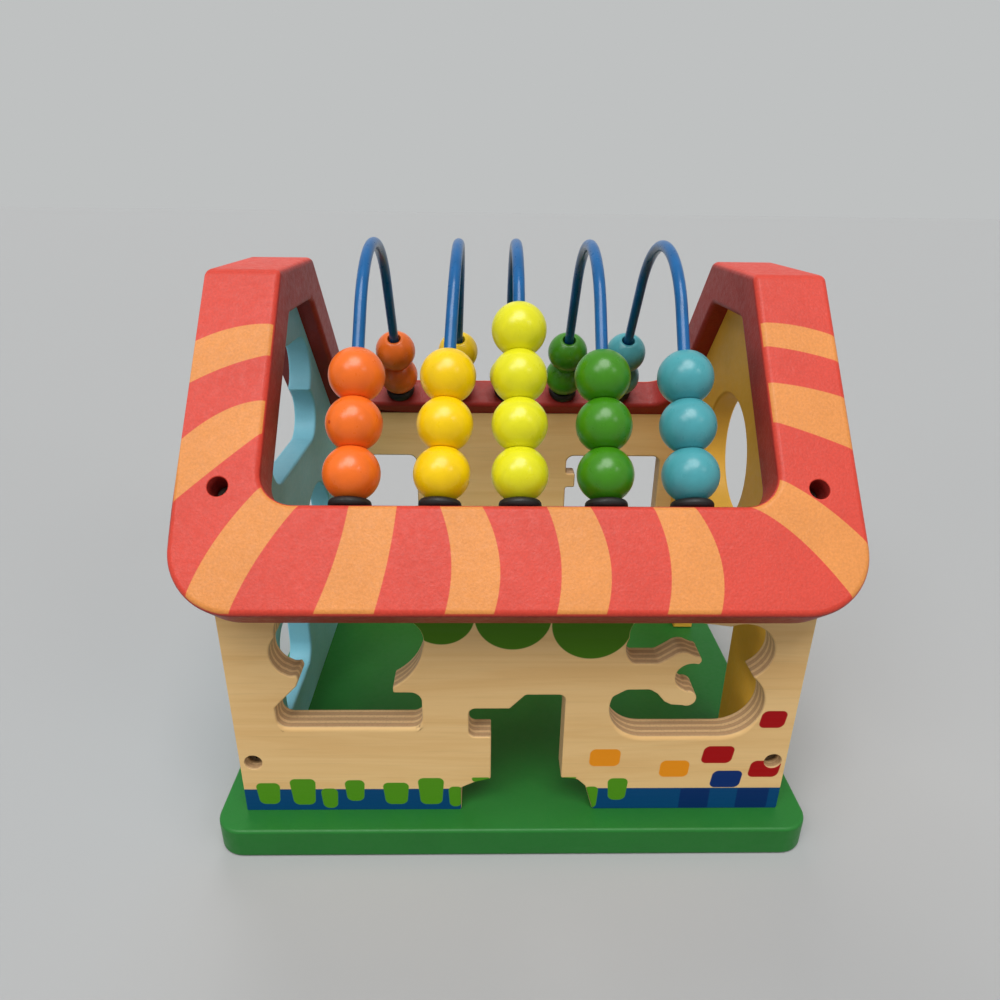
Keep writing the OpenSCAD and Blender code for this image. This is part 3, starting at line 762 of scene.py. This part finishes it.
beadShape = dict(diameter=18.8, length=16.7, bore=6.0, shoulder=1.3, rim=0.45, steps=40, cornerSteps=5,
                 roundSteps=64)
beadSet = dict(washer=3.9, gap=0.15, front=[3, 3, 4, 3, 3], back=[2, 2, 1, 2, 2])
# one bead has two small dents: their direction from its middle, then place, radius and stain of each
nickedBead = dict(body="orange_front_bead_2", toward=(-0.72, -0.64, 0.26),
                  nicks=[((0, 0, 0), 0.8, linear(190, 62, 28)), ((1.4, 0.2, 0.9), 0.55, linear(200, 72, 34))])


def beadTree():  # a turned bead: a profile swept round the wire's axis, then set on the wire
    tree, given = startTree("turnedBead", {
        "Float": ("boreRadius",), "Vector": ("centre", "turn"), "Object": ("profile",),
        "Material": ("lacquer",)})
    outline = addNode(tree, "GeometryNodeObjectInfo", {"Object": given["profile"]})
    line = addNode(tree, "GeometryNodeMeshToCurve", {"Mesh": outline.outputs["Geometry"]})
    path = addNode(tree, "GeometryNodeCurvePrimitiveCircle", {
        "Resolution": beadShape["roundSteps"], "Radius": given["boreRadius"]})
    sweep = addNode(tree, "GeometryNodeCurveToMesh", {
        "Curve": path.outputs[0], "Profile Curve": line.outputs[0]})
    move = addNode(tree, "GeometryNodeTransform", {
        "Geometry": sweep.outputs[0], "Translation": given["centre"], "Rotation": given["turn"]})
    endTree(tree, move.outputs[0], given["lacquer"])
    return tree


def beadProfile():  # closed outline of one half of a bead's section, measured from the bore's wall
    ball = beadShape["diameter"] / 2
    bore = beadShape["bore"] / 2
    end = beadShape["length"] / 2
    soft = beadShape["shoulder"]
    rim = beadShape["rim"]
    steps = beadShape["steps"]
    cornerSteps = beadShape["cornerSteps"]
    softX = math.sqrt((ball - soft) ** 2 - (end - soft) ** 2)  # the shoulder touches ball and flat end
    touch = math.atan2(end - soft, softX)
    points = []
    for i in range(steps + 1):
        angle = -touch + 2 * touch * i / steps
        points.append((ball * math.cos(angle), ball * math.sin(angle)))
    upper = []
    for i in range(1, cornerSteps + 1):
        angle = touch + (math.pi / 2 - touch) * i / cornerSteps
        upper.append((softX + soft * math.cos(angle), end - soft + soft * math.sin(angle)))
    for i in range(cornerSteps + 1):
        angle = math.pi / 2 * (1 + i / cornerSteps)
        upper.append((bore + rim + rim * math.cos(angle), end - rim + rim * math.sin(angle)))
    points += upper + [(out, -along) for out, along in reversed(upper)]
    corners = [((out - bore) * mm, along * mm, 0.0) for out, along in points]
    mesh = bpy.data.meshes.new("beadProfile")
    mesh.from_pydata(corners, [(i, (i + 1) % len(corners)) for i in range(len(corners))], [])
    outline = bpy.data.objects.new("beadProfile", mesh)
    scene.collection.objects.link(outline)
    return outline


def nickedLacquer(centre):
    spot = centre + Vector(nickedBead["toward"]).normalized() * beadShape["diameter"] / 2
    nicks = [(spot + Vector(offset), radius, stain) for offset, radius, stain in nickedBead["nicks"]]
    return lacquer("orangeNickedLacquer", beadColours["orange"], nicks)


wireShape = wireTree()
turnedBead = beadTree()
profile = beadProfile()
beadPitch = beadShape["length"] + beadSet["gap"]
firstBead = beadSet["washer"] + beadSet["gap"] + beadShape["length"] / 2
for number, name in enumerate(beadColours):
    lean = math.radians(beadWire["leans"][number])
    piece = nodesPiece(name + "Wire", wireShape, dict(
        x=wireX(number) * mm, footY=footY * mm, footZ=footZ * mm, lean=lean, slope=wireTilt,
        legLength=legLength * mm, socket=beadWire["socket"] * mm, bend=beadWire["bend"] * mm,
        bendZ=bendZ * mm, diameter=beadWire["diameter"] * mm, coating=wirePaint))
    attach(piece, "house")
    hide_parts(name + "_wire")
    for side, mirror in (("front", 1), ("back", -1)):
        for i in range(beadSet[side][number]):
            along = firstBead + i * beadPitch
            rise = along * math.sin(wireTilt)
            centre = Vector((wireX(number) + rise * math.sin(lean),
                             mirror * (footY + along * math.cos(wireTilt)), footZ + rise * math.cos(lean)))
            body = f"{name}_{side}_bead_{i + 1}"
            finish = nickedLacquer(centre) if body == nickedBead["body"] else beadLacquer[name]
            piece = nodesPiece(name + side.capitalize() + "Bead" + str(i + 1), turnedBead, dict(
                boreRadius=beadShape["bore"] / 2 * mm, centre=centre * mm,
                turn=Vector((mirror * (wireTilt - math.pi / 2), lean, 0)), profile=profile, lacquer=finish))
            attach(piece, body)
            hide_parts(body)
bpy.data.objects.remove(profile)

# screws and dowels keep their CAD shape
fastenings = dict(roof_screws=steel, wall_screws=steel, base_screws=steel, ridge_dowels=beech)
for nodeName, material in fastenings.items():
    cadNodes[nodeName].data.materials.clear()
    cadNodes[nodeName].data.materials.append(material)
print("fastenings:", list(fastenings))

# floor, light and camera; the seen colours show in the picture, the others only light the toy
stageSet = dict(floorSize=16.0, floorSeen=linear(170, 171, 171), floorLight=linear(98, 98, 98),
                floorRough=0.85, floorGloss=0.1, roomSeen=linear(191, 193, 193),
                roomLight=linear(86, 87, 89))


def seenOrLight(tree, seen, light):  # one colour for rays that show a surface, one for those that light
    rays = tree.nodes.new("ShaderNodeLightPath").outputs
    share = calc(tree, "MAXIMUM", rays["Is Camera Ray"], rays["Is Glossy Ray"])
    share = calc(tree, "MAXIMUM", share, rays["Is Transmission Ray"])
    return blendColour(tree, share, light, seen)


def floorMaterial():
    material, tree, shader = newMaterial("paleFloor")
    feedAll(tree, shader, {
        "Base Color": seenOrLight(tree, stageSet["floorSeen"], stageSet["floorLight"]),
        "Roughness": stageSet["floorRough"],
        "Specular IOR Level": stageSet["floorGloss"],
    })
    return material


bpy.ops.mesh.primitive_plane_add(size=stageSet["floorSize"])
floor = bpy.context.active_object
floor.name = "paleFloor"
floor.data.materials.append(floorMaterial())

# where each lamp stands as seen from the toy, how wide it is in degrees, and its strength
lamps = dict(
    key=dict(at=(0.0, -0.37, 1.0), wide=40, power=2.5, shine=True),
    keyLeft=dict(at=(-0.46, -0.5, 0.73), wide=23, power=0.7, shine=True),
    keyRight=dict(at=(0.6, -0.55, 0.6), wide=15, power=0.2, shine=True),
    left=dict(at=(-1.0, -0.5, 0.05), wide=20, power=0.9, shine=False),
    right=dict(at=(1.0, -0.5, 0.05), wide=20, power=0.9, shine=False),
    back=dict(at=(-0.2, 1.0, 0.42), wide=40, power=1.4, shine=False),
)
for name, lamp in lamps.items():
    light = bpy.data.lights.new(name + "Light", "SUN")
    light.angle = math.radians(lamp["wide"])
    light.energy = lamp["power"]
    holder = bpy.data.objects.new(name + "Light", light)
    holder.location = lamp["at"]
    holder.rotation_euler = (-Vector(lamp["at"])).to_track_quat("-Z", "Y").to_euler()
    holder.visible_glossy = lamp["shine"]
    scene.collection.objects.link(holder)

world = bpy.data.worlds.new("softRoom")
scene.world = world
world.use_nodes = True
sky = world.node_tree.nodes["Background"]
room = seenOrLight(world.node_tree, stageSet["roomSeen"], stageSet["roomLight"])
feed(world.node_tree, sky.inputs["Color"], room)

# place in millimetres, turn in degrees
viewpoint = dict(at=(-11.17, -286.37, 227.33), turn=(66.6533, -0.6883, -0.9596), lens=25.851, sensor=36,
                 nearest=10)
lensData = bpy.data.cameras.new("photoCamera")
lensData.sensor_width = viewpoint["sensor"]
lensData.lens = viewpoint["lens"]
lensData.clip_start = viewpoint["nearest"] * mm
camera = bpy.data.objects.new("photoCamera", lensData)
camera.location = [value * mm for value in viewpoint["at"]]
camera.rotation_euler = [math.radians(value) for value in viewpoint["turn"]]
scene.collection.objects.link(camera)
scene.camera = camera
scene.view_settings.view_transform = "Standard"
print("stage: floor,", len(lamps), "lamps, camera")
